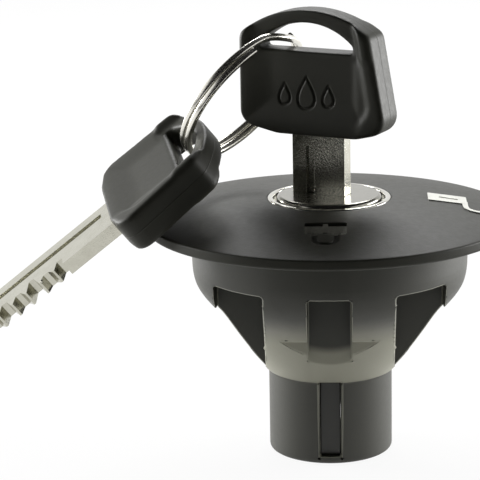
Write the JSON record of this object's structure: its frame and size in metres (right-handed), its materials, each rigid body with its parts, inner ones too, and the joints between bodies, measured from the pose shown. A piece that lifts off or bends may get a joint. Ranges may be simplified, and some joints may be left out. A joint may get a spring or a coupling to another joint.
{
  "type": "fuel filler cap",
  "caption": "Round locking fuel filler cap with a thin-rimmed domed cover, a fingered basket on a tubular nose, a key in the lock and a spare on a split ring.",
  "frame": {"origin": "centre of the nose's flat end, on the lock's axis", "axes": "+Z along the lock's axis, from the nose to the cover; -Y the side with the closed-lock sign; +X the side with the open-lock sign"},
  "size_m": [0.0981, 0.0666, 0.0812],
  "materials": {
    "cap_plastic": "fine grain, matte, dark olive grey",
    "latch_plastic": "smooth, low sheen, black",
    "key_rubber": "moulded, satin",
    "seal_rubber": "matte",
    "bright_steel": "polished",
    "key_steel": "nickel plated, bright",
    "spring_steel": "plain",
    "cast_zinc": "die cast, plain",
    "wafer_brass": "stamped"
  },
  "bodies": {
    "housing": {"basket": "cap_plastic", "cover": "cap_plastic", "cover_seal": "seal_rubber", "nose_cap": "cap_plastic", "latch_guide": "latch_plastic", "lock_case": "cast_zinc", "lock_gasket": "seal_rubber", "bezel_ring": "bright_steel", "case_snap_ring": "spring_steel"},
    "plug": {"plug": "cast_zinc", "plug_face": "bright_steel", "plug_clip": "spring_steel", "latch_cam": "cast_zinc", "wafer_1": "wafer_brass", "wafer_2": "wafer_brass", "wafer_3": "wafer_brass", "wafer_4": "wafer_brass", "wafer_5": "wafer_brass"},
    "latch_front": {"latch_front": "latch_plastic"},
    "latch_back": {"latch_back": "latch_plastic"},
    "key": {"key_blade": "key_steel", "key_head": "key_rubber"},
    "ring": {"split_ring": "bright_steel"},
    "spare": {"spare_blade": "key_steel", "spare_head": "key_rubber"}
  },
  "joints": [
    {"name": "lock_turn", "type": "hinge", "parent": "housing", "child": "plug", "pos_m": [0, 0, 0.03], "axis": [0, 0, 1], "range_deg": [-60, 30]},
    {"name": "latch_front_slide", "type": "slide", "parent": "housing", "child": "latch_front", "axis": [0, -1, 0], "range_m": [-0.00121, 0.00241]},
    {"name": "latch_back_slide", "type": "slide", "parent": "housing", "child": "latch_back", "axis": [0, 1, 0], "range_m": [-0.00121, 0.00241]},
    {"name": "key_slide", "type": "slide", "parent": "plug", "child": "key", "axis": [0, 0, 1], "range_m": [0, 0.036]},
    {"name": "ring_swing", "type": "hinge", "parent": "key", "child": "ring", "pos_m": [-0.00733, 0.0034, 0.07586], "axis": [0.4226, 0.9063, 0], "range_deg": [0, 60]},
    {"name": "spare_swing", "type": "hinge", "parent": "ring", "child": "spare", "pos_m": [-0.01557, 0.00439, 0.06496], "axis": [-0.69, 0.455, 0.563], "range_deg": [0, 45]}
  ],
  "couplings": [
    {"joint": "latch_front_slide", "follows": "lock_turn", "m_per_rad": -0.0022918},
    {"joint": "latch_back_slide", "follows": "lock_turn", "m_per_rad": -0.0022918}
  ]
}
